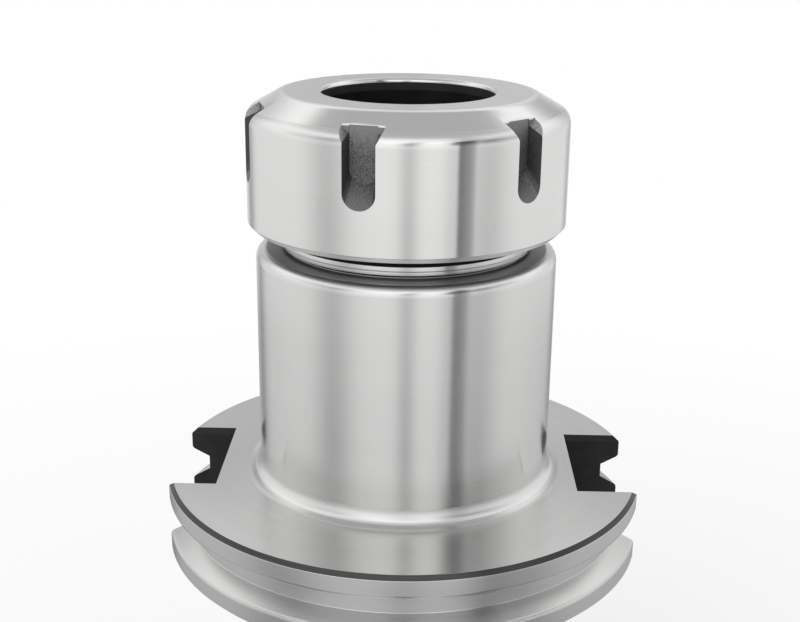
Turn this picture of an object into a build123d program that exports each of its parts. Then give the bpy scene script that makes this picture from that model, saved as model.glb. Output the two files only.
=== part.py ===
"""Collet chuck holder: a 50-taper V-flange shank with a straight round body, and its size 40 clamping nut.

Millimetres, +Z up along the spindle axis. The origin is the centre of the shank's small end.
The drive-key slots lie on -X (deep) and +X (shallow).
"""

import math
import os

from build123d import *

os.makedirs("parts", exist_ok=True)

# Taper shank, 7:24 on the diameter
gauge_dia = 69.85
taper_length = 101.6
taper_rate = 7 / 24
small_end_chamfer = 1.5
gauge_to_flange = 3.175
undercut_depth = 0.9

# Flange with its gripper groove
flange_dia = 98.425
flange_thickness = 15.875
flange_chamfer = 0.7
groove_opening = 7.07
groove_depth = 3.57
groove_half_angle = 30
groove_chamfer = 0.6

# Drive-key slots: width, and each floor's distance from the axis
key_slot_width = 25.8
deep_slot_floor = 37.7
shallow_slot_floor = 35.3
key_slot_chamfer = 1.1

# Nose thread, as its plain major diameter
thread_dia = 49.8
thread_clearance = 0.05
nose_chamfer = 1.2
nose_wall = 4.4
nose_gap = 1.6

# Round body between flange and nut
shoulder_width = 5.1
body_dia = thread_dia + 2 * shoulder_width
body_length = 47.1
body_root_fillet = 3.0
shoulder_chamfer = 1.2

# Bore from the collet seat to the small end
seat_mouth_dia = thread_dia - 2 * nose_wall
seat_half_angle = 8
seat_depth = 34
seat_step = 1.2
clearance_bore_depth = 60
drill_half_angle = 59
through_dia = 20
drawbar_thread_dia = 22.2
drawbar_thread_depth = 55
pilot_dia = 26.2
pilot_depth = 8
pilot_chamfer = 1.0

# Clamping nut, outside
nut_wall = 6.55
nut_dia = thread_dia + 2 * (thread_clearance + nut_wall)
nut_height = 26.1
nut_gap = 4.65
nut_chamfer = 1.1
nut_cone_angle = 29.5
nut_cone_width = 6.6
nut_edge_chamfer = 1.3

# Clamping nut, inside
front_land = 2.4
front_bore_chamfer = 0.6
collet_cone_half_angle = 30
collet_cone_depth = 3.35
rim_groove_step = 0.4
rim_groove_dia = seat_mouth_dia - 2 * rim_groove_step
rim_groove_width = 2.1
lip_depth = 1.2
lip_offset = 0.6
lip_thickness = 2.0
nut_relief_width = 2.2
nut_relief_depth = 0.5
nut_mouth_chamfer = 0.8

# Wrench slots in the nut
wrench_slot_count = 6
first_slot_angle = 15.3
wrench_slot_width = 6.2
wrench_slot_start = 9.35
slot_floor_wall = 3.35
slot_ramp_angle = 52.5
slot_flare = 1.1
slot_flare_height = 1.7
slot_flare_drop = 1.3
slot_flare_slope = 18

# Radii and heights that follow
gauge_radius = gauge_dia / 2
small_end_radius = gauge_radius - taper_length * taper_rate / 2
flange_radius = flange_dia / 2
groove_radius = flange_radius - groove_depth
groove_floor = groove_opening - 2 * groove_depth * math.tan(math.radians(groove_half_angle))
body_radius = body_dia / 2
thread_radius = thread_dia / 2
undercut_radius = gauge_radius - undercut_depth

flange_rear_z = taper_length + gauge_to_flange
flange_front_z = flange_rear_z + flange_thickness
groove_z = (flange_rear_z + flange_front_z) / 2
shoulder_z = flange_front_z + body_length

nut_radius = nut_dia / 2
nut_face_radius = nut_radius - nut_cone_width
nut_thread_radius = thread_radius + thread_clearance
rim_groove_radius = rim_groove_dia / 2
front_bore_radius = rim_groove_radius - collet_cone_depth
lip_radius = rim_groove_radius - lip_depth
nut_z = shoulder_z + nut_gap
nut_top_z = nut_z + nut_height
nut_edge_z = nut_top_z - nut_cone_width * math.tan(math.radians(nut_cone_angle))
collet_cone_length = collet_cone_depth / math.tan(math.radians(collet_cone_half_angle))
rim_groove_top_z = nut_top_z - front_land - collet_cone_length
lip_top_z = rim_groove_top_z - rim_groove_width
lip_bottom_z = lip_top_z - lip_thickness
nut_thread_end_z = lip_bottom_z - nut_relief_width
nose_z = lip_bottom_z - nose_gap


def corner(outline, radius, height):
    """The corner of a turned outline that lies at a radius and a height."""
    return outline.vertices().sort_by_distance((radius, height))[0]


# Holder body: turned outline, bore and key slots
pilot_radius = pilot_dia / 2
drawbar_radius = drawbar_thread_dia / 2
through_radius = through_dia / 2
seat_mouth_radius = seat_mouth_dia / 2
seat_end_radius = seat_mouth_radius - seat_depth * math.tan(math.radians(seat_half_angle))
clearance_radius = seat_end_radius - seat_step
seat_end_z = nose_z - seat_depth
clearance_bore_z = nose_z - clearance_bore_depth
drill_slope = math.tan(math.radians(drill_half_angle))

with BuildPart() as holder_body:
    with BuildSketch(Plane.XZ) as turned_outline:
        with BuildLine():
            Polyline(
                (0, 0),
                (small_end_radius, 0),
                (gauge_radius, taper_length),
                (undercut_radius, taper_length + undercut_depth),
                (undercut_radius, flange_rear_z),
                (flange_radius, flange_rear_z),
                (flange_radius, groove_z - groove_opening / 2),
                (groove_radius, groove_z - groove_floor / 2),
                (groove_radius, groove_z + groove_floor / 2),
                (flange_radius, groove_z + groove_opening / 2),
                (flange_radius, flange_front_z),
                (body_radius, flange_front_z),
                (body_radius, shoulder_z),
                (thread_radius, shoulder_z),
                (thread_radius, nose_z),
                (0, nose_z),
                close=True,
            )
        make_face()
        chamfer(corner(turned_outline, small_end_radius, 0), small_end_chamfer)
        chamfer(corner(turned_outline, flange_radius, flange_rear_z), flange_chamfer)
        chamfer(corner(turned_outline, flange_radius, flange_front_z), flange_chamfer)
        chamfer(corner(turned_outline, flange_radius, groove_z - groove_opening / 2), groove_chamfer)
        chamfer(corner(turned_outline, flange_radius, groove_z + groove_opening / 2), groove_chamfer)
        fillet(corner(turned_outline, body_radius, flange_front_z), body_root_fillet)
        chamfer(corner(turned_outline, body_radius, shoulder_z), shoulder_chamfer)
        chamfer(corner(turned_outline, thread_radius, nose_z), nose_chamfer)
    revolve(axis=Axis.Z)

    with BuildSketch(Plane.XZ) as bore_outline:
        with BuildLine():
            Polyline(
                (0, 0),
                (pilot_radius + pilot_chamfer, 0),
                (pilot_radius, pilot_chamfer),
                (pilot_radius, pilot_depth),
                (drawbar_radius, pilot_depth + pilot_radius - drawbar_radius),
                (drawbar_radius, drawbar_thread_depth),
                (through_radius, drawbar_thread_depth + (drawbar_radius - through_radius) / drill_slope),
                (through_radius, clearance_bore_z - (clearance_radius - through_radius) / drill_slope),
                (clearance_radius, clearance_bore_z),
                (clearance_radius, seat_end_z),
                (seat_end_radius, seat_end_z),
                (seat_mouth_radius, nose_z),
                (0, nose_z),
                close=True,
            )
        make_face()
    revolve(axis=Axis.Z, mode=Mode.SUBTRACT)

    # Each key slot runs right through the flange, and its two walls open out at the front face
    for side, slot_floor in ((-1, deep_slot_floor), (1, shallow_slot_floor)):
        with BuildSketch(Plane.YZ.offset(side * slot_floor)):
            with BuildLine():
                Polyline(
                    (-key_slot_width / 2, flange_rear_z),
                    (key_slot_width / 2, flange_rear_z),
                    (key_slot_width / 2, flange_front_z - key_slot_chamfer),
                    (key_slot_width / 2 + key_slot_chamfer, flange_front_z),
                    (-key_slot_width / 2 - key_slot_chamfer, flange_front_z),
                    (-key_slot_width / 2, flange_front_z - key_slot_chamfer),
                    close=True,
                )
            make_face()
        extrude(amount=side * (flange_radius - slot_floor), mode=Mode.SUBTRACT)

holder_body.part.label = "holder_body"
export_step(holder_body.part, "parts/holder_body.step")


# Cutter for one wrench slot, on the +X side of the nut
wrench_floor = nut_thread_radius + slot_floor_wall
wrench_slot_depth = nut_radius - wrench_floor
ramp_drop = wrench_slot_depth * math.tan(math.radians(slot_ramp_angle))
slot_arc_z = nut_z + wrench_slot_start + ramp_drop + wrench_slot_width / 2
slot_half_width = wrench_slot_width / 2
flare_half_width = slot_half_width + slot_flare
flare_z = nut_edge_z - slot_flare_drop + wrench_slot_depth * math.tan(math.radians(slot_flare_slope))
cutter_run = 1.5 * wrench_slot_depth

with BuildPart() as wrench_slot:
    # A round-ended slot carried outwards and down, which leaves a ramp at its lower end
    with BuildSketch(Plane.YZ.offset(wrench_floor)):
        with Locations((0, slot_arc_z)):
            Circle(slot_half_width)
            Rectangle(wrench_slot_width, nut_height, align=(Align.CENTER, Align.MIN))
    ramp = math.radians(slot_ramp_angle)
    extrude(amount=cutter_run / math.cos(ramp), dir=(math.cos(ramp), 0, -math.sin(ramp)))

    # The flared mouth where the slot breaks out through the nut's cone
    with BuildSketch(Plane.YZ.offset(wrench_floor)):
        with BuildLine():
            Polyline(
                (-slot_half_width, flare_z),
                (slot_half_width, flare_z),
                (flare_half_width, flare_z + slot_flare_height),
                (flare_half_width, flare_z + nut_height),
                (-flare_half_width, flare_z + nut_height),
                (-flare_half_width, flare_z + slot_flare_height),
                close=True,
            )
        make_face()
    slope = math.radians(slot_flare_slope)
    extrude(amount=cutter_run / math.cos(slope), dir=(math.cos(slope), 0, -math.sin(slope)))


# Clamping nut: turned ring, eccentric extraction lip and wrench slots
with BuildPart() as clamping_nut:
    with BuildSketch(Plane.XZ) as nut_section:
        with BuildLine():
            Polyline(
                (nut_thread_radius, nut_z),
                (nut_radius, nut_z),
                (nut_radius, nut_edge_z),
                (nut_face_radius, nut_top_z),
                (front_bore_radius, nut_top_z),
                (front_bore_radius, nut_top_z - front_land),
                (rim_groove_radius, rim_groove_top_z),
                (rim_groove_radius, lip_top_z),
                (lip_radius - lip_offset, lip_top_z),
                (lip_radius - lip_offset, lip_bottom_z),
                (nut_thread_radius + nut_relief_depth, lip_bottom_z),
                (nut_thread_radius + nut_relief_depth, nut_thread_end_z),
                (nut_thread_radius, nut_thread_end_z),
                close=True,
            )
        make_face()
        chamfer(corner(nut_section, nut_radius, nut_z), nut_chamfer)
        chamfer(corner(nut_section, nut_thread_radius, nut_z), nut_mouth_chamfer)
        chamfer(corner(nut_section, nut_radius, nut_edge_z), nut_edge_chamfer)
        chamfer(corner(nut_section, front_bore_radius, nut_top_z), front_bore_chamfer)
    revolve(axis=Axis.Z)

    with BuildSketch(Plane.XY.offset(lip_bottom_z)):
        with Locations((lip_offset, 0)):
            Circle(lip_radius)
    extrude(amount=lip_thickness, mode=Mode.SUBTRACT)

    with PolarLocations(0, wrench_slot_count, start_angle=first_slot_angle):
        add(wrench_slot.part, mode=Mode.SUBTRACT)

clamping_nut.part.label = "clamping_nut"
export_step(clamping_nut.part, "parts/clamping_nut.step")
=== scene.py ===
import math

import bpy
import numpy as np
from mathutils import Matrix, Vector


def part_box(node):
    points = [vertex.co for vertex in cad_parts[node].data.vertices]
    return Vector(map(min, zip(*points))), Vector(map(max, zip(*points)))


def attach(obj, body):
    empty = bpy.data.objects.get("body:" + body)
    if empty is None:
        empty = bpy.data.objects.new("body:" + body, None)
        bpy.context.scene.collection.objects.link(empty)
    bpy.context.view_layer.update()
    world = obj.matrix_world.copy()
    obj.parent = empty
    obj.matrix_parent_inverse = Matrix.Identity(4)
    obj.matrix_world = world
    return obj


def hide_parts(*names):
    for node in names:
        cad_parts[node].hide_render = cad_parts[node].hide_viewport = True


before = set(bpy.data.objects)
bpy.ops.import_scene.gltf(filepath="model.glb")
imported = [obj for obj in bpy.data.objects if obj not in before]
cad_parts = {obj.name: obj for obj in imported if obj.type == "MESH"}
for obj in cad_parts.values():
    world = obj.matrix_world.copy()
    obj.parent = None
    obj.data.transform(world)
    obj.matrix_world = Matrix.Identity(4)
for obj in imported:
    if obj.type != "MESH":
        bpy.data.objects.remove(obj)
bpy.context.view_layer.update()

# Heights that the frame gives, in metres
nose_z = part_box("holder_body")[1].z
nut_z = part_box("clamping_nut")[0].z
nut_top_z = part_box("clamping_nut")[1].z

# Taper shank
gauge_radius = 0.034925
taper_length = 0.1016
taper_slope = 7 / 48
small_end_chamfer = 0.0015
undercut_depth = 0.0009

# Flange with its gripper groove and key slots
flange_radius = 0.0492125
flange_rear_z = 0.104775
flange_front_z = 0.12065
flange_chamfer = 0.0009
groove_opening = 0.00707
groove_depth = 0.00357
groove_half_angle = math.radians(30)
groove_round = 0.001
key_slot_width = 0.0258
key_slot_floors = {-1: 0.0377, 1: 0.0353}
key_slot_chamfer = 0.0011

# Round body, neck and nose thread
body_radius = 0.030
body_root_fillet = 0.003
shoulder_z = 0.16775
shoulder_round = 0.0020
neck_radius = 0.0249
neck_length = 0.0023
neck_line_depth = 0.00012
relief_radius = 0.0240
relief_length = 0.00065
nose_thread_root = 0.0240
nose_thread_pitch = 0.0015
nose_chamfer = 0.0012

# Bore from the nose down to the small end
seat_mouth_radius = 0.0205
seat_half_angle = math.radians(8)
seat_depth = 0.034
seat_step = 0.0012
clearance_bore_depth = 0.060
drill_half_angle = math.radians(59)
through_radius = 0.010
drawbar_crest_radius = 0.0111
drawbar_root_radius = 0.0127
drawbar_thread_pitch = 0.003175
drawbar_thread_top = 0.055
pilot_radius = 0.0131
pilot_depth = 0.008
pilot_chamfer = 0.001

# Clamping nut
nut_radius = 0.0315
nut_chamfer = 0.0011
nut_cone_width = 0.0066
nut_cone_angle = math.radians(29.5)
nut_edge_round = 0.0032
nut_face_round = 0.0030
nut_bore_radius = 0.02495
nut_mouth_chamfer = 0.0008
front_bore_radius = 0.01675
front_bore_round = 0.0008
front_land = 0.0024
rim_groove_radius = 0.0201
collet_cone_half_angle = math.radians(30)
rim_groove_width = 0.0021
lip_radius = 0.0189
lip_offset = 0.0006
lip_thickness = 0.002
nut_relief_width = 0.0022
nut_relief_depth = 0.0005

# Wrench slots in the nut
wrench_slot_count = 6
first_slot_angle = math.radians(15.3)
wrench_slot_width = 0.0062
wrench_slot_start = 0.00935
wrench_floor = 0.0283
slot_ramp_angle = math.radians(52.5)
slot_draft = 0.00045
slot_flare = 0.0011
slot_flare_height = 0.0017
slot_flare_drop = 0.0013
slot_flare_slope = math.radians(25)
slot_flare_step = 0.0001
slot_edge_bevel = 0.00024
slot_edge_slope = math.radians(62)
slot_arc_points = 25
# Painted light from above on the slot floors grows from this far to this far under the nut's top
slot_painted_light_from = 0.0075
slot_painted_light_to = 0.0025
cutter_overrun = 1.5

# Thread ridges: shares of the pitch, plain pitches at the drawbar thread's end, sink and steps in a turn
thread_base_share = 0.44
thread_crest_share = 1 / 8
thread_runout = 1.5
thread_sink = 0.00005
thread_steps = 96

# Edges and steps of the turned surfaces
crisp_edge = 0.00012
inner_edge = 0.0004
turn_steps = 256
round_steps = 10
small_round = 0.0005
wide_round = 0.0015
wide_round_start = 5
support_gap = 0.00005
steep_share = 0.8
crease_angle = math.radians(35)

# Rings and grain in the steel: number to the metre, depth, strength, tones and roughness
turning_rings = 5200
turning_depth = 0.00004
turning_strength = 0.12
streak_turn = 0.25
steel_tint = (1, 0.997, 0.99)
black_grains = 2600
black_depth = 0.00006
black_strength = 0.15
black_tones = ((0.010, 0.010, 0.011), (0.026, 0.026, 0.027))
black_roughness = (0.42, 0.62)
black_specular = 0.2
slot_grains = 3400
slot_grain_depth = 0.00012
slot_grain_strength = 0.5
slot_grain_contrast = (-0.6, 1.6)
slot_roughness = (0.42, 0.60)
slot_metal_share = 0.55
# Paleness that the painted light and shade add to the slots' skin at full share
slot_painted_light_share = 0.7

# Places of the colours among a Mix node's sockets
mix_first, mix_second, mix_result = 6, 7, 2

# Finishes from the brightest to the darkest, and that of wide rounds
GROUND, FACE, SATIN, DARK, EDGE, BLACK, ROUND = range(7)


def value_node(nodes, operation, first, second):
    """A Math node on two values; a value is a number or another node's output."""
    node = nodes.new("ShaderNodeMath")
    node.operation = operation
    for socket, value in zip(node.inputs, (first, second)):
        if isinstance(value, bpy.types.NodeSocket):
            node.id_data.links.new(value, socket)
        else:
            socket.default_value = value
    return node.outputs["Value"]


def mixed_colour(nodes, factor, first, second):
    """A colour that goes from the first to the second as the factor goes from 0 to 1."""
    node = nodes.new("ShaderNodeMix")
    node.data_type = "RGBA"
    node.id_data.links.new(factor, node.inputs["Factor"])
    node.inputs[mix_first].default_value = (*first, 1)
    node.inputs[mix_second].default_value = (*second, 1)
    return node.outputs[mix_result]


def mapped_value(nodes, value, low, high):
    """A value between 0 and 1 spread over a new range."""
    node = nodes.new("ShaderNodeMapRange")
    node.id_data.links.new(value, node.inputs["Value"])
    node.inputs["To Min"].default_value = low
    node.inputs["To Max"].default_value = high
    return node.outputs["Result"]


def turning_marks_group():
    """Fine rings left by grinding and turning, which hardly change round the axis.

    They are noise at (radius, height, cosine), with the sine as the fourth, so that no seam shows.
    """
    group = bpy.data.node_groups.new("turning_marks", "ShaderNodeTree")
    sockets = group.interface
    sockets.new_socket("Place", in_out="INPUT", socket_type="NodeSocketVector")
    sockets.new_socket("Rings per metre", in_out="INPUT", socket_type="NodeSocketFloat")
    sockets.new_socket("Rings", in_out="OUTPUT", socket_type="NodeSocketFloat")
    sockets.new_socket("Patches", in_out="OUTPUT", socket_type="NodeSocketFloat")
    nodes, links = group.nodes, group.links
    inputs, outputs = nodes.new("NodeGroupInput"), nodes.new("NodeGroupOutput")

    apart = nodes.new("ShaderNodeSeparateXYZ")
    links.new(inputs.outputs["Place"], apart.inputs[0])
    flat = nodes.new("ShaderNodeCombineXYZ")
    links.new(apart.outputs["X"], flat.inputs["X"])
    links.new(apart.outputs["Y"], flat.inputs["Y"])
    radius = nodes.new("ShaderNodeVectorMath")
    radius.operation = "LENGTH"
    links.new(flat.outputs[0], radius.inputs[0])
    heading = nodes.new("ShaderNodeVectorMath")
    heading.operation = "NORMALIZE"
    links.new(flat.outputs[0], heading.inputs[0])
    way = nodes.new("ShaderNodeSeparateXYZ")
    links.new(heading.outputs[0], way.inputs[0])

    for name, share, along, detail in (("Rings", 1.0, 1.6, 3.0), ("Patches", 0.035, 1.1, 2.0)):
        rate = value_node(nodes, "MULTIPLY", inputs.outputs["Rings per metre"], share)
        place = nodes.new("ShaderNodeCombineXYZ")
        links.new(value_node(nodes, "MULTIPLY", radius.outputs["Value"], rate), place.inputs["X"])
        links.new(value_node(nodes, "MULTIPLY", apart.outputs["Z"], rate), place.inputs["Y"])
        links.new(value_node(nodes, "MULTIPLY", way.outputs["X"], along), place.inputs["Z"])
        noise = nodes.new("ShaderNodeTexNoise")
        noise.noise_dimensions = "4D"
        noise.inputs["Scale"].default_value = 1
        noise.inputs["Detail"].default_value = detail
        links.new(place.outputs[0], noise.inputs["Vector"])
        links.new(value_node(nodes, "MULTIPLY", way.outputs["Y"], along), noise.inputs["W"])
        links.new(noise.outputs["Fac"], outputs.inputs[name])
    return group


def grain_group():
    """Even grain in all directions: fine noise for the grain and coarse noise for its patches."""
    group = bpy.data.node_groups.new("metal_grain", "ShaderNodeTree")
    sockets = group.interface
    sockets.new_socket("Place", in_out="INPUT", socket_type="NodeSocketVector")
    sockets.new_socket("Grains per metre", in_out="INPUT", socket_type="NodeSocketFloat")
    sockets.new_socket("Grain", in_out="OUTPUT", socket_type="NodeSocketFloat")
    sockets.new_socket("Patches", in_out="OUTPUT", socket_type="NodeSocketFloat")
    nodes, links = group.nodes, group.links
    inputs, outputs = nodes.new("NodeGroupInput"), nodes.new("NodeGroupOutput")
    for name, share, detail in (("Grain", 1.0, 3.0), ("Patches", 0.1, 2.0)):
        noise = nodes.new("ShaderNodeTexNoise")
        noise.inputs["Detail"].default_value = detail
        links.new(inputs.outputs["Place"], noise.inputs["Vector"])
        rate = value_node(nodes, "MULTIPLY", inputs.outputs["Grains per metre"], share)
        links.new(rate, noise.inputs["Scale"])
        links.new(noise.outputs["Fac"], outputs.inputs[name])
    return group


def new_finish(name):
    """A material with its shader, and Object coordinates for its pattern."""
    material = bpy.data.materials.new(name)
    material.use_nodes = True
    nodes = material.node_tree.nodes
    place = nodes.new("ShaderNodeTexCoord").outputs["Object"]
    return material, nodes, material.node_tree.links, nodes["Principled BSDF"], place


def placed_group(nodes, group, place, rate):
    """A shared group in a material, on that material's coordinates, with a rate of its own."""
    node = nodes.new("ShaderNodeGroup")
    node.node_tree = group
    node.id_data.links.new(place, node.inputs[0])
    node.inputs[1].default_value = rate
    return node


def add_bump(nodes, shader, height, strength, distance):
    """Height on a shader's normal."""
    bump = nodes.new("ShaderNodeBump")
    bump.inputs["Strength"].default_value = strength
    bump.inputs["Distance"].default_value = distance
    node_tree = bump.id_data
    node_tree.links.new(height, bump.inputs["Height"])
    node_tree.links.new(bump.outputs["Normal"], shader.inputs["Normal"])


def warm_grey(level):
    """A grey that is a very little warm, as steel is."""
    return tuple(level * share for share in steel_tint)


def turned_steel(name, marks, dark, light, gloss, streak):
    """Bare hardened steel, ground or turned. Its rings spread the gloss along the axis by the streak."""
    material, nodes, links, shader, place = new_finish(name)
    shader.inputs["Metallic"].default_value = 1
    shader.inputs["Anisotropic"].default_value = streak
    shader.inputs["Anisotropic Rotation"].default_value = streak_turn
    tangent = nodes.new("ShaderNodeTangent")
    tangent.direction_type = "RADIAL"
    tangent.axis = "Z"
    links.new(tangent.outputs["Tangent"], shader.inputs["Tangent"])
    rings = placed_group(nodes, marks, place, turning_rings)
    tone = value_node(nodes, "ADD", rings.outputs["Rings"], rings.outputs["Patches"])
    tone = value_node(nodes, "MULTIPLY", tone, 0.5)
    links.new(mixed_colour(nodes, tone, warm_grey(dark), warm_grey(light)), shader.inputs["Base Color"])
    links.new(mapped_value(nodes, rings.outputs["Rings"], *gloss), shader.inputs["Roughness"])
    add_bump(nodes, shader, rings.outputs["Rings"], turning_strength, turning_depth)
    return material


def blackened_steel(grain):
    """Unground steel with a thin black oxide skin, a little greyer in patches."""
    material, nodes, links, shader, place = new_finish("blackened_steel")
    speckle = placed_group(nodes, grain, place, black_grains)
    shader.inputs["Specular IOR Level"].default_value = black_specular
    colour = mixed_colour(nodes, speckle.outputs["Patches"], *black_tones)
    links.new(colour, shader.inputs["Base Color"])
    roughness = mapped_value(nodes, speckle.outputs["Grain"], *black_roughness)
    links.new(roughness, shader.inputs["Roughness"])
    add_bump(nodes, shader, speckle.outputs["Grain"], black_strength, black_depth)
    return material


def pressed_slot_steel(name, grain, dark, light, pale):
    """The wrench slots' skin: dark, grainy and a little metallic, as pressed and blasted.

    It grows paler from one place to another along the radius or the height, which is painted light and shade:
    darker deep in the slot, paler towards the nut's top.
    """
    material, nodes, links, shader, place = new_finish(name)
    speckle = placed_group(nodes, grain, place, slot_grains)
    shader.inputs["Metallic"].default_value = slot_metal_share
    # Painted shade and light: the tone grows paler along the given way, from its start to its end
    way, start, end = pale
    along = nodes.new("ShaderNodeVectorMath")
    along.operation = "MULTIPLY"
    links.new(place, along.inputs[0])
    along.inputs[1].default_value = way
    reach = nodes.new("ShaderNodeVectorMath")
    reach.operation = "LENGTH"
    links.new(along.outputs["Vector"], reach.inputs[0])
    share = nodes.new("ShaderNodeMapRange")
    links.new(reach.outputs["Value"], share.inputs["Value"])
    share.inputs["From Min"].default_value = start
    share.inputs["From Max"].default_value = end
    share.inputs["To Max"].default_value = slot_painted_light_share
    tone = mapped_value(nodes, speckle.outputs["Grain"], *slot_grain_contrast)
    tone = value_node(nodes, "ADD", tone, share.outputs["Result"])
    colour = mixed_colour(nodes, tone, (dark, dark, dark), (light, light, light))
    links.new(colour, shader.inputs["Base Color"])
    roughness = mapped_value(nodes, speckle.outputs["Patches"], *slot_roughness)
    links.new(roughness, shader.inputs["Roughness"])
    add_bump(nodes, shader, speckle.outputs["Grain"], slot_grain_strength, slot_grain_depth)
    return material


def new_piece(name, points, faces, materials, finishes=None):
    """A mesh object at the origin from whole arrays of points and faces, shaded smooth."""
    mesh = bpy.data.meshes.new(name)
    mesh.from_pydata(points.tolist(), [], faces)
    for material in materials:
        mesh.materials.append(material)
    if finishes is not None:
        mesh.polygons.foreach_set("material_index", finishes.astype(np.int32))
    mesh.shade_smooth()
    piece = bpy.data.objects.new(name, mesh)
    bpy.context.collection.objects.link(piece)
    return piece


def grid_faces(row_count, column_count, rows_close=False, columns_close=False):
    """Four-sided faces between the rows and columns of a grid of points, closed round where asked."""
    last_row = row_count if rows_close else row_count - 1
    last_column = column_count if columns_close else column_count - 1
    rows, columns = np.meshgrid(np.arange(last_row), np.arange(last_column), indexing="ij")
    here, there = rows * column_count, (rows + 1) % row_count * column_count
    after = (columns + 1) % column_count
    return np.stack([here + columns, here + after, there + after, there + columns], axis=2).reshape(-1, 4)


def rounded_outline(corners):
    """A closed outline of (radius, height) with a round at each corner, and each point's finish and corner.

    A round of radius r in a corner that turns by t starts r * tan(t / 2) before the corner. Its points lie on
    a circle: start + r * (sin(s) along the first side + (1 - cos(s)) towards the inside), for s from 0 to t.
    One more point on each side, a small gap away, keeps the straight sides flat under smooth shading.
    Small rounds keep only their ends and middle. A round has the brighter finish of its two sides. A wide
    one starts with the finish of the side before it and goes on with its own.
    """
    table = np.array([row[:3] for row in corners], dtype=float)
    finish = np.array([row[3] for row in corners])
    place, radius = table[:, :2], table[:, 2:3]
    side = np.roll(place, -1, axis=0) - place
    along = side / np.linalg.norm(side, axis=1, keepdims=True)
    before, after = np.roll(along, 1, axis=0), along
    across = np.stack([-before[:, 1], before[:, 0]], axis=1)
    turn = np.arctan2((across * after).sum(axis=1), (before * after).sum(axis=1))[:, None]
    reach = radius * np.tan(np.abs(turn) / 2)
    start = place - before * reach
    swing = np.linspace(0, 1, round_steps + 1)[None, :, None] * np.abs(turn)[:, :, None]
    inside = np.sign(turn) * across
    arc = start[:, None, :] + radius[:, :, None] * (
        np.sin(swing) * before[:, None, :] + (1 - np.cos(swing)) * inside[:, None, :]
    )
    lead = (start - before * support_gap)[:, None, :]
    trail = (place + after * (reach + support_gap))[:, None, :]
    outline = np.concatenate([lead, arc, trail], axis=1)
    finish_before = np.roll(finish, 1)
    stretch = np.repeat(np.minimum(finish_before, finish)[:, None], round_steps + 3, axis=1)
    wide = radius[:, 0] > wide_round
    stretch[wide] = ROUND
    stretch[wide, :wide_round_start] = finish_before[wide, None]
    stretch[:, 0] = finish_before
    stretch[:, -1] = finish
    corner, step = np.indices(stretch.shape)
    ends_and_middle = [0, 1, 1 + round_steps // 2, 1 + round_steps, 2 + round_steps]
    kept = (radius > small_round) | np.isin(step, ends_and_middle)
    return outline[kept], stretch[kept], corner[kept]


def turned_piece(name, corners, materials, shift=None):
    """A closed outline carried round the axis.

    x = radius * cos(turn) + shift, y = radius * sin(turn) and z = height. The shift moves single corners of
    the outline sideways, for an eccentric ring.
    """
    outline, stretch, corner = rounded_outline(corners)
    turn = np.linspace(0, 2 * math.pi, turn_steps, endpoint=False)
    radius, height = outline[:, 0:1], outline[:, 1:2]
    sideways = np.zeros(len(corners)) if shift is None else shift
    sideways = sideways[corner][:, None]
    level = np.broadcast_to(height, (len(outline), turn_steps))
    points = np.stack([radius * np.cos(turn) + sideways, radius * np.sin(turn), level], axis=2).reshape(-1, 3)
    faces = grid_faces(len(outline), turn_steps, rows_close=True, columns_close=True)
    return new_piece(name, points, faces.tolist(), materials, np.repeat(stretch, turn_steps))


def helical_ridge(name, profile, pitch, bottom, top, materials):
    """A closed profile of (radius, height) carried up a right-handed helix, by the pitch in each turn."""
    profile = np.array(profile)
    turns = (top - bottom) / pitch
    turn = np.linspace(0, 2 * math.pi * turns, int(thread_steps * turns))
    radius, height = profile[:, 0:1], profile[:, 1:2]
    rise = bottom + pitch * turn / (2 * math.pi)
    points = np.stack([radius * np.cos(turn), radius * np.sin(turn), height + rise], axis=2).reshape(-1, 3)
    sides = grid_faces(len(profile), len(turn), rows_close=True)
    first_end = np.arange(len(profile)) * len(turn)
    last_end = (first_end + len(turn) - 1)[::-1]
    return new_piece(name, points, [*sides.tolist(), first_end.tolist(), last_end.tolist()], materials)


def upright_outline(distance, profile):
    """A profile of (across, up) set upright at a distance from the axis."""
    return np.column_stack([np.full(len(profile), distance), profile])


def swept_cutter(name, outline, far_outline, turns, materials):
    """Prisms between two outlines with the same number of points, turned about the axis by each angle.

    The materials are those of the ends, of the level sides and of the sides that run up and down.
    """
    corners = len(outline)
    prism = np.concatenate([outline, far_outline])
    ring = np.arange(corners)
    after = (ring + 1) % corners
    edge = outline[after] - outline
    steep = np.abs(edge[:, 2]) > steep_share * np.linalg.norm(edge, axis=1)
    finish = np.concatenate([[0, 0], 1 + steep])
    faces = [ring[::-1], ring + corners, *np.stack([ring, after, after + corners, ring + corners], axis=1)]
    spins = np.array([Matrix.Rotation(turn, 3, "Z") for turn in turns])
    points = np.einsum("tij,pj->tpi", spins, prism).reshape(-1, 3)
    faces = [(face + copy * 2 * corners).tolist() for copy in range(len(spins)) for face in faces]
    return new_piece(name, points, faces, materials, np.tile(finish, len(spins)))


def carve(piece, cutter):
    """Takes the cutter's volume out of a piece, and lays the cutter's finish on the new faces."""
    carving = piece.modifiers.new("carving", "BOOLEAN")
    carving.operation = "DIFFERENCE"
    carving.solver = "EXACT"
    carving.material_mode = "TRANSFER"
    carving.object = cutter
    whole = piece.data
    graph = bpy.context.evaluated_depsgraph_get()
    carved = bpy.data.meshes.new_from_object(piece.evaluated_get(graph))
    piece.modifiers.clear()
    piece.data = carved
    carved.name = piece.name
    bpy.data.meshes.remove(whole)
    bpy.data.objects.remove(cutter)


def crease(piece):
    """Smooth shading, broken at edges sharper than the crease angle."""
    piece.data.shade_smooth()
    piece.data.set_sharp_from_angle(angle=crease_angle)


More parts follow.
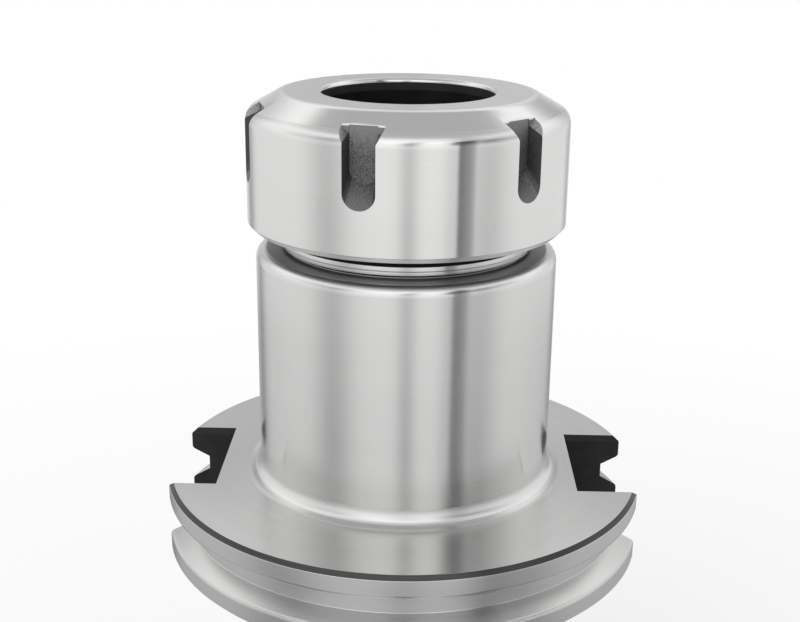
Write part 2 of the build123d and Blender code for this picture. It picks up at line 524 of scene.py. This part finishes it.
# Finishes: the dark and the light tone, then for turned steel its range of roughness and its streak
marks = turning_marks_group()
grain = grain_group()
body_steel = turned_steel("ground_steel_body", marks, 0.645, 0.725, (0.17, 0.25), 0.82)
nut_steel = turned_steel("ground_steel_nut", marks, 0.665, 0.745, (0.13, 0.19), 0.95)
face_steel = turned_steel("turned_steel_face", marks, 0.54, 0.68, (0.19, 0.29), 0.8)
satin_steel = turned_steel("satin_steel_flange", marks, 0.51, 0.64, (0.30, 0.42), 0.5)
shoulder_steel = turned_steel("turned_steel_shoulder", marks, 0.28, 0.58, (0.40, 0.55), 0.3)
edge_steel = turned_steel("dark_steel_edge", marks, 0.035, 0.105, (0.22, 0.32), 0.3)
fillet_steel = turned_steel("turned_steel_fillet", marks, 0.68, 0.76, (0.28, 0.36), 0.2)
rim_steel = turned_steel("ground_steel_rim", marks, 0.68, 0.76, (0.27, 0.35), 0.2)
black_steel = blackened_steel(grain)
shared_finishes = [face_steel, satin_steel, shoulder_steel, edge_steel, black_steel]
# Painted shade deep in the slots, paler outwards to the nut's radius, and painted light from above, paler
# towards the nut's top
outward = ((1, 1, 0), wrench_floor, nut_radius)
upward = ((0, 0, 1), nut_top_z - slot_painted_light_from, nut_top_z - slot_painted_light_to)
# Lit and shaded copies of one slot skin: the floor with painted light from above, the darker ramps and walls
# with painted shade, the paler flare facets with painted light
slot_steel = pressed_slot_steel("pressed_slot_floor_painted_light", grain, 0.036, 0.18, upward)
ramp_steel_painted_shade = pressed_slot_steel("pressed_slot_ramp_painted_shade", grain, 0.018, 0.15, outward)
flare_steel_painted_light = pressed_slot_steel("pressed_slot_flare_painted_light", grain, 0.07, 0.32, outward)
wall_steel_painted_shade = pressed_slot_steel("pressed_slot_wall_painted_shade", grain, 0.018, 0.08, outward)


def ground_holder():
    """The holder: its turned outline and bore in one closed outline, then the key slots."""
    groove_z = (flange_rear_z + flange_front_z) / 2
    groove_radius = flange_radius - groove_depth
    groove_floor = groove_opening - 2 * groove_depth * math.tan(groove_half_angle)
    small_end_radius = gauge_radius - taper_length * taper_slope
    chamfer_top = small_end_chamfer * math.cos(math.atan(taper_slope))
    undercut_radius = gauge_radius - undercut_depth
    neck_top = shoulder_z + neck_length
    neck_line = shoulder_z + (relief_length + neck_length) / 2
    thread_start = neck_top + neck_radius - nose_thread_root
    seat_end_z = nose_z - seat_depth
    seat_end_radius = seat_mouth_radius - seat_depth * math.tan(seat_half_angle)
    clearance_radius = seat_end_radius - seat_step
    clearance_z = nose_z - clearance_bore_depth
    drill_slope = math.tan(drill_half_angle)
    corners = [
        (pilot_radius + pilot_chamfer, 0, crisp_edge, BLACK),
        (small_end_radius - small_end_chamfer, 0, crisp_edge, BLACK),
        (small_end_radius + chamfer_top * taper_slope, chamfer_top, crisp_edge, GROUND),
        (gauge_radius, taper_length, crisp_edge, BLACK),
        (undercut_radius, taper_length + undercut_depth, inner_edge, BLACK),
        (undercut_radius, flange_rear_z, inner_edge, GROUND),
        (flange_radius - flange_chamfer, flange_rear_z, crisp_edge, EDGE),
        (flange_radius, flange_rear_z + flange_chamfer, crisp_edge, SATIN),
        (flange_radius, groove_z - groove_opening / 2, groove_round, FACE),
        (groove_radius, groove_z - groove_floor / 2, crisp_edge, SATIN),
        (groove_radius, groove_z + groove_floor / 2, crisp_edge, FACE),
        (flange_radius, groove_z + groove_opening / 2, groove_round, SATIN),
        (flange_radius, flange_front_z - flange_chamfer, crisp_edge, EDGE),
        (flange_radius - flange_chamfer, flange_front_z, crisp_edge, FACE),
        (body_radius, flange_front_z, body_root_fillet, GROUND),
        (body_radius, shoulder_z, shoulder_round, DARK),
        (relief_radius, shoulder_z, crisp_edge, BLACK),
        (relief_radius, shoulder_z + relief_length, crisp_edge, BLACK),
        (neck_radius, shoulder_z + relief_length, crisp_edge, GROUND),
        (neck_radius, neck_line - neck_line_depth, crisp_edge / 4, GROUND),
        (neck_radius - neck_line_depth, neck_line, crisp_edge / 4, GROUND),
        (neck_radius, neck_line + neck_line_depth, crisp_edge / 4, GROUND),
        (neck_radius, neck_top, crisp_edge, BLACK),
        (nose_thread_root, thread_start, crisp_edge, BLACK),
        (nose_thread_root, nose_z - nose_chamfer / 2, crisp_edge, BLACK),
        (nose_thread_root - nose_chamfer / 2, nose_z, crisp_edge, BLACK),
        (seat_mouth_radius, nose_z, crisp_edge, GROUND),
        (seat_end_radius, seat_end_z, crisp_edge, BLACK),
        (clearance_radius, seat_end_z, crisp_edge, BLACK),
        (clearance_radius, clearance_z, inner_edge, BLACK),
        (through_radius, clearance_z - (clearance_radius - through_radius) / drill_slope, crisp_edge, BLACK),
        (through_radius, drawbar_thread_top, crisp_edge, BLACK),
        (drawbar_root_radius, drawbar_thread_top - drawbar_thread_pitch, crisp_edge, BLACK),
        (drawbar_root_radius, pilot_depth + pilot_radius - drawbar_root_radius, crisp_edge, BLACK),
        (pilot_radius, pilot_depth, inner_edge / 4, BLACK),
        (pilot_radius, pilot_chamfer, crisp_edge, BLACK),
    ]
    piece = turned_piece("ground_holder", corners, [body_steel, *shared_finishes, fillet_steel])
    half = key_slot_width / 2
    wide = half + 2 * key_slot_chamfer
    low, high = flange_rear_z - key_slot_chamfer, flange_front_z + key_slot_chamfer
    for side, floor in key_slot_floors.items():
        profile = np.array([
            (-half, low),
            (half, low),
            (half, flange_front_z - key_slot_chamfer),
            (wide, high),
            (-wide, high),
            (-half, flange_front_z - key_slot_chamfer),
        ])
        outline = upright_outline(side * floor, profile * (side, 1))
        far_outline = outline + np.array([side * flange_radius, 0, 0])
        carve(piece, swept_cutter("key_slot", outline, far_outline, [0], [black_steel] * 3))
    crease(piece)
    return piece


def ground_nut():
    """The clamping nut: a turned ring with an eccentric lip, then six wrench slots.

    Each slot has a ramp at its lower end, a flared mouth across the cone and a bevel on its top edge.
    """
    nut_face_radius = nut_radius - nut_cone_width
    nut_edge_z = nut_top_z - nut_cone_width * math.tan(nut_cone_angle)
    cone_height = (rim_groove_radius - front_bore_radius) / math.tan(collet_cone_half_angle)
    cone_end_z = nut_top_z - front_land - cone_height
    lip_top = cone_end_z - rim_groove_width
    lip_bottom = lip_top - lip_thickness
    relief_end = lip_bottom - nut_relief_width
    corners = [
        (nut_bore_radius + nut_mouth_chamfer, nut_z, crisp_edge, DARK),
        (nut_radius - nut_chamfer, nut_z, crisp_edge, GROUND),
        (nut_radius, nut_z + nut_chamfer, crisp_edge, GROUND),
        (nut_radius, nut_edge_z, nut_edge_round, GROUND),
        (nut_face_radius, nut_top_z, nut_face_round, GROUND),
        (front_bore_radius, nut_top_z, front_bore_round, BLACK),
        (front_bore_radius, nut_top_z - front_land, crisp_edge, BLACK),
        (rim_groove_radius, cone_end_z, crisp_edge, BLACK),
        (rim_groove_radius, lip_top, inner_edge, BLACK),
        (lip_radius, lip_top, inner_edge / 2, BLACK),
        (lip_radius, lip_bottom, inner_edge / 2, BLACK),
        (nut_bore_radius + nut_relief_depth, lip_bottom, inner_edge, BLACK),
        (nut_bore_radius + nut_relief_depth, relief_end, crisp_edge, BLACK),
        (nut_bore_radius, relief_end, crisp_edge, BLACK),
        (nut_bore_radius, nut_z + nut_mouth_chamfer, crisp_edge, BLACK),
    ]
    shift = np.array([lip_offset if corner[0] == lip_radius else 0 for corner in corners])
    piece = turned_piece("ground_nut", corners, [nut_steel, *shared_finishes, rim_steel], shift)

    slot_depth = nut_radius - wrench_floor
    run = cutter_overrun * slot_depth
    half = wrench_slot_width / 2 - slot_draft
    arc_z = nut_z + wrench_slot_start + slot_depth * math.tan(slot_ramp_angle) + half
    spread = 1 + slot_draft * run / slot_depth / half
    swing = np.linspace(math.pi, 2 * math.pi, slot_arc_points)
    across = np.concatenate([half * np.cos(swing), [half, -half]])
    up = np.concatenate([arc_z + half * np.sin(swing), [nut_top_z + slot_depth] * 2])
    slot_outline = upright_outline(wrench_floor, np.column_stack([across, up]))
    slot_far = slot_outline * np.array([1, spread, 1]) + np.array([run, 0, -run * math.tan(slot_ramp_angle)])

    flare_floor = wrench_floor + slot_flare_step
    flare_z = nut_edge_z - slot_flare_drop + (nut_radius - flare_floor) * math.tan(slot_flare_slope)
    mouth_half = wrench_slot_width / 2
    flare_half = mouth_half + slot_flare
    flare = np.array([
        (-mouth_half, 0),
        (mouth_half, 0),
        (flare_half, slot_flare_height),
        (flare_half, nut_cone_width),
        (-flare_half, nut_cone_width),
        (-flare_half, slot_flare_height),
    ])
    flare_outline = upright_outline(flare_floor, flare + (0, flare_z))
    flare_far = flare_outline + np.array([run, 0, -run * math.tan(slot_flare_slope)])
    turns = first_slot_angle + np.arange(wrench_slot_count) * 2 * math.pi / wrench_slot_count
    # The slot skins carry painted light and shade: paler flare facets, darker ramps and walls
    slot_skins = [slot_steel, ramp_steel_painted_shade, wall_steel_painted_shade]
    flare_skins = [slot_steel, ramp_steel_painted_shade, flare_steel_painted_light]
    carve(piece, swept_cutter("wrench_slot", slot_outline, slot_far, turns, slot_skins))
    carve(piece, swept_cutter("wrench_slot_flare", flare_outline, flare_far, turns, flare_skins))

    slot_top_z = nut_top_z - (wrench_floor - nut_face_radius) * math.tan(nut_cone_angle)
    # A wedge across the slot's top edge, in bevel widths outwards and upwards
    bevel = np.array([(-2, 2), (1, 2), (1, -1)]) * slot_edge_bevel
    bevel_z = slot_top_z - slot_edge_bevel + bevel[:, 1] * math.tan(slot_edge_slope)
    bevel_half = np.full(len(bevel), flare_half - support_gap)
    bevel_outline = np.column_stack([wrench_floor + bevel[:, 0], -bevel_half, bevel_z])
    bevel_far = bevel_outline * (1, -1, 1)
    bevel_skins = [slot_steel, slot_steel, rim_steel]
    carve(piece, swept_cutter("wrench_slot_bevel", bevel_outline, bevel_far, turns, bevel_skins))
    crease(piece)
    return piece


def thread_profile(root, crest, pitch):
    """The section of a thread ridge with a flat crest, sunk a little at its root."""
    sink = math.copysign(thread_sink, crest - root)
    base, tip = thread_base_share * pitch, thread_crest_share * pitch / 2
    section = [(root - sink, -base), (crest, -tip), (crest, tip), (root - sink, base)]
    return section if crest > root else section[::-1]


def holder_threads():
    """The nose thread that the nut turns on, and the drawbar thread in the small end."""
    nose = helical_ridge(
        "nose_thread",
        thread_profile(nose_thread_root, neck_radius, nose_thread_pitch),
        nose_thread_pitch,
        shoulder_z + neck_length + nose_thread_pitch,
        nose_z - nose_chamfer - nose_thread_pitch / 2,
        [black_steel],
    )
    drawbar = helical_ridge(
        "drawbar_thread",
        thread_profile(drawbar_root_radius, drawbar_crest_radius, drawbar_thread_pitch),
        drawbar_thread_pitch,
        pilot_depth + drawbar_thread_pitch,
        drawbar_thread_top - thread_runout * drawbar_thread_pitch,
        [black_steel],
    )
    for piece in (nose, drawbar):
        crease(piece)
        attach(piece, "holder")


holder = ground_holder()
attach(holder, "holder")
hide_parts("holder_body")

nut = ground_nut()
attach(nut, "nut")
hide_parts("clamping_nut")

holder_threads()


# Floor: its size, its grey, and where its shade ends
floor_half = 4.0
floor_drop = 0.0004
floor_grey = 0.86
floor_roughness = 0.9
shade_start = 0.10
shade_end = 0.45
shaded_glow = 0.6

# Light tent in metres, and the rows and columns of its grid
tent_radius = 0.37
tent_wall = 0.42
tent_top = 0.62
tent_eye_z = 0.15
sheet_hole = 0.055
sheet_dark = 0.14
sheet_pale = 0.30
sheet_folds_fade = (0.22, 0.34)
wall_foot = (0.015, 0.085)
sheet_rows, wall_rows, dome_rows, tent_columns = 24, 44, 26, 720

# Light tent in degrees: first, last and number of angles that the steel faces, then widths and rises
steel_angles = (-100, 100, 401)
front_width = 55
back_width = 60
high_folds_rise = (12, 28)
wide_slit_fade = (34, 44)

# Soft folds of the tent: angle that the steel faces, width, depth, and depth high on the tent
tent_folds = (
    (1, 3.3, 0.32, 0.70),
    (15.8, 2.6, 0.15, 0.25),
    (-27.6, 7.8, 0.34, 0.58),
    (29.1, 8.3, 0.30, 0.58),
    (33, 11, 0, 0.25),
    (-40, 8, 0, 0.30),
    (43, 8, 0, 0.30),
    (-72.7, 4.7, 0.5, 0.5),
    (78.3, 4.2, 0.4, 0.4),
    (-92.3, 11, 0.2, 0.2),
    (92.3, 11, 0.1, 0.1),
)

# Slits of the tent: angles that the steel faces, and depths there
narrow_slit = ([17.6, 18.2, 21.8, 23.4, 24.6], [0, 0.78, 0.58, 0.42, 0])
wide_slit = ([15, 17, 24, 26], [0, 0.83, 0.83, 0])

# Course of the tent upwards: rises, and the lean in degrees, the level or the share there
high_lean = ([30, 40], [0, 4.5])
front_level = ([0, 6, 12, 22, 34, 51, 59], [1.06, 1.2, 1.25, 1.22, 1.5, 1.5, 0.55])
back_level = ([4, 12, 19, 26, 32, 49, 54], [0.88, 0.70, 0.68, 0.91, 1.2, 1.2, 0.56])
side_level = ([4, 12, 20, 46, 56], [1.0, 1.1, 1.25, 1.25, 0.56])
folds_shown = ([-4, 3, 12, 20, 34, 44], [1, 0.7, 0.7, 1, 1, 0])
slit_shown = ([4, 24, 54, 62], [1, 1.18, 1.18, 0])

# How far the tent's foot and sheet are dimmed, how much deeper folds are on the sheet, and the least glow
foot_dim = 0.16
back_foot_dim = 0.26
sheet_dim = 0.4
sheet_folds_gain = 0.9
least_glow = 0.04

# World and lamps: each lamp's place, size and power
world_strength = 0.45
lamp_aim = (0, 0, 0.12)
lamps = {
    "front_lamp": ((-0.35, -0.75, 0.75), 0.7, 7.0),
    "right_lamp": ((0.80, -0.20, 0.55), 0.6, 1.5),
    "back_lamp": ((-0.30, 0.85, 0.60), 0.7, 3.5),
}

# Camera, fitted to the photograph
camera_place = (0.003925, -0.24307, 0.23410)
camera_turn = math.radians(1.187)
camera_tilt = math.radians(90 - 18.332)
camera_roll = math.radians(0.652)
camera_sensor = 36
camera_lens = 56.42
camera_clip = 0.01


def pale_floor():
    """A large flat floor: white for the camera and in reflections, and shaded near the holder."""
    points = np.array([(-1, -1, 0), (1, -1, 0), (1, 1, 0), (-1, 1, 0)]) * floor_half
    points[:, 2] = -floor_drop
    material = bpy.data.materials.new("pale_floor")
    material.use_nodes = True
    nodes, links = material.node_tree.nodes, material.node_tree.links
    shader = nodes["Principled BSDF"]
    shader.inputs["Base Color"].default_value = (floor_grey, floor_grey, floor_grey, 1)
    shader.inputs["Roughness"].default_value = floor_roughness
    shader.inputs["Specular IOR Level"].default_value = 0
    glow = nodes.new("ShaderNodeEmission")
    glow.inputs["Strength"].default_value = 1.0
    path = nodes.new("ShaderNodeLightPath")
    seen = value_node(nodes, "MAXIMUM", path.outputs["Is Camera Ray"], path.outputs["Is Glossy Ray"])
    seen = value_node(nodes, "MAXIMUM", seen, path.outputs["Is Transmission Ray"])
    distance = nodes.new("ShaderNodeVectorMath")
    distance.operation = "LENGTH"
    links.new(nodes.new("ShaderNodeTexCoord").outputs["Object"], distance.inputs[0])
    away = nodes.new("ShaderNodeMapRange")
    links.new(distance.outputs["Value"], away.inputs["Value"])
    away.inputs["From Min"].default_value = shade_start
    away.inputs["From Max"].default_value = shade_end
    away.inputs["To Min"].default_value = shaded_glow
    mix = nodes.new("ShaderNodeMixShader")
    links.new(value_node(nodes, "MULTIPLY", seen, away.outputs["Result"]), mix.inputs["Fac"])
    links.new(shader.outputs["BSDF"], mix.inputs[1])
    links.new(glow.outputs["Emission"], mix.inputs[2])
    links.new(mix.outputs["Shader"], nodes["Material Output"].inputs["Surface"])
    floor = new_piece("pale_floor", points, [(0, 1, 2, 3)], [material])


def bump_curve(angle, centre, width):
    """A smooth bump of height 1 round an angle in degrees: exp(-(distance / width) ** 2)."""
    apart = (angle - centre + 180) % 360 - 180
    return np.exp(-((apart / width) ** 2))


def smooth_rise(value, low, high):
    """0 below low, 1 above high and a smooth step between."""
    share = np.clip((value - low) / (high - low), 0, 1)
    return share * share * (3 - 2 * share)


def light_tent():
    """The white tent that the bare steel mirrors: ground sheet, wall and dome, seen only in reflections.

    The angle is 0 at the camera's side and grows to the right. The rise is the angle above the body's middle.
    Steel that faces an angle f mirrors the tent at 2 * f - arcsin(body radius * sin(f) / tent radius).
    The glow is 1 less soft folds and one dark slit, wider high up, at angles that the steel faces, times a
    level that goes with the rise: bright panels above the camera, the sides and the back, and a dimmer top.
    """
    sheet = np.linspace(sheet_hole, tent_radius, sheet_rows)
    wall = np.linspace(0, tent_wall, wall_rows)[1:]
    arch = np.linspace(0, math.pi / 2, dome_rows)[1:]
    radius = np.concatenate([sheet, np.full(len(wall), tent_radius), tent_radius * np.cos(arch)])[:, None]
    dome = tent_wall + (tent_top - tent_wall) * np.sin(arch)
    height = np.concatenate([np.zeros(len(sheet)), wall, dome])[:, None]
    angle = np.linspace(-180, 180, tent_columns, endpoint=False)
    turn = np.radians(angle)
    tall = np.broadcast_to(height, (len(radius), len(turn)))
    points = np.stack([radius * np.sin(turn), -radius * np.cos(turn), tall], axis=2).reshape(-1, 3)
    inward = [0, 3, 2, 1]
    faces = grid_faces(len(radius), len(turn), columns_close=True)[:, inward]

    rise = np.degrees(np.arctan2(height - tent_eye_z, radius))
    steel = np.linspace(*steel_angles)
    offset = body_radius * np.sin(np.radians(steel))
    reaches = np.where(height > 0, tent_radius, radius)[:, 0]
    met = [2 * steel - np.degrees(np.arcsin(offset / reach)) for reach in reaches]
    facing = np.stack([np.interp(angle, place, steel) for place in met]) - np.interp(rise, *high_lean)
    high = smooth_rise(rise, *high_folds_rise)
    folds = sum(
        (depth + high * (high_depth - depth)) * bump_curve(facing, centre, width)
        for centre, width, depth, high_depth in tent_folds
    )
    wide_share = high * (1 - smooth_rise(rise, *wide_slit_fade))
    slit = np.maximum(np.interp(facing, *narrow_slit), wide_share * np.interp(facing, *wide_slit))
    front = bump_curve(angle, 0, front_width)
    back = bump_curve(angle, 180, back_width)
    level = (
        front * np.interp(rise, *front_level)
        + back * np.interp(rise, *back_level)
        + (1 - front - back) * np.interp(rise, *side_level)
    )
    low = 1 - smooth_rise(height, *wall_foot)
    near = smooth_rise(radius, sheet_hole, sheet_dark) * (1 - smooth_rise(radius, sheet_dark, sheet_pale))
    level = level * (1 - low * (foot_dim + back_foot_dim * back)) * (1 - sheet_dim * near * (height == 0))
    on_sheet = (height == 0) * (1 - smooth_rise(radius, *sheet_folds_fade))
    shown = np.interp(rise, *folds_shown) * (1 + sheet_folds_gain * on_sheet)
    cut = np.interp(rise, *slit_shown)
    glow = level * np.clip(1 - shown * folds, least_glow, 1) * (1 - cut * slit)

    material = bpy.data.materials.new("light_tent")
    material.use_nodes = True
    nodes, links = material.node_tree.nodes, material.node_tree.links
    nodes.remove(nodes["Principled BSDF"])
    strength = nodes.new("ShaderNodeAttribute")
    strength.attribute_name = "glow"
    emission = nodes.new("ShaderNodeEmission")
    links.new(strength.outputs["Fac"], emission.inputs["Strength"])
    links.new(emission.outputs["Emission"], nodes["Material Output"].inputs["Surface"])
    tent = new_piece("light_tent", points, faces.tolist(), [material])
    shine = tent.data.attributes.new("glow", "FLOAT", "POINT")
    shine.data.foreach_set("value", glow.reshape(-1).astype(np.float32))
    tent.visible_camera = False
    tent.visible_diffuse = False
    tent.visible_shadow = False
    tent.visible_transmission = False


def soft_lamp(name, place, size, power):
    """A square lamp that points at the holder and doesn't show in reflections."""
    data = bpy.data.lights.new(name, "AREA")
    data.size = size
    data.energy = power
    lamp = bpy.data.objects.new(name, data)
    lamp.location = place
    lamp.rotation_euler = (Vector(lamp_aim) - Vector(place)).to_track_quat("-Z", "Y").to_euler()
    lamp.visible_glossy = False
    bpy.context.collection.objects.link(lamp)


def white_world():
    """White behind everything, and an even, softer light from all round."""
    world = bpy.data.worlds.new("white_world")
    world.use_nodes = True
    nodes, links = world.node_tree.nodes, world.node_tree.links
    path = nodes.new("ShaderNodeLightPath")
    strength = mapped_value(nodes, path.outputs["Is Camera Ray"], world_strength, 1.0)
    links.new(strength, nodes["Background"].inputs["Strength"])
    nodes["Background"].inputs["Color"].default_value = (1, 1, 1, 1)
    bpy.context.scene.world = world


def photo_camera():
    """The camera at the photograph's place: 18 degrees above the level, close to the holder."""
    data = bpy.data.cameras.new("photo_camera")
    data.sensor_width = camera_sensor
    data.lens = camera_lens
    data.clip_start = camera_clip
    camera = bpy.data.objects.new("photo_camera", data)
    turn = Matrix.Rotation(camera_turn, 4, "Z")
    tilt = Matrix.Rotation(camera_tilt, 4, "X")
    roll = Matrix.Rotation(camera_roll, 4, "Z")
    camera.matrix_world = Matrix.Translation(camera_place) @ turn @ tilt @ roll
    bpy.context.collection.objects.link(camera)
    bpy.context.scene.camera = camera


pale_floor()
light_tent()
white_world()
for lamp_name, (lamp_place, lamp_size, lamp_power) in lamps.items():
    soft_lamp(lamp_name, lamp_place, lamp_size, lamp_power)
photo_camera()

bpy.context.scene.view_settings.view_transform = "Standard"
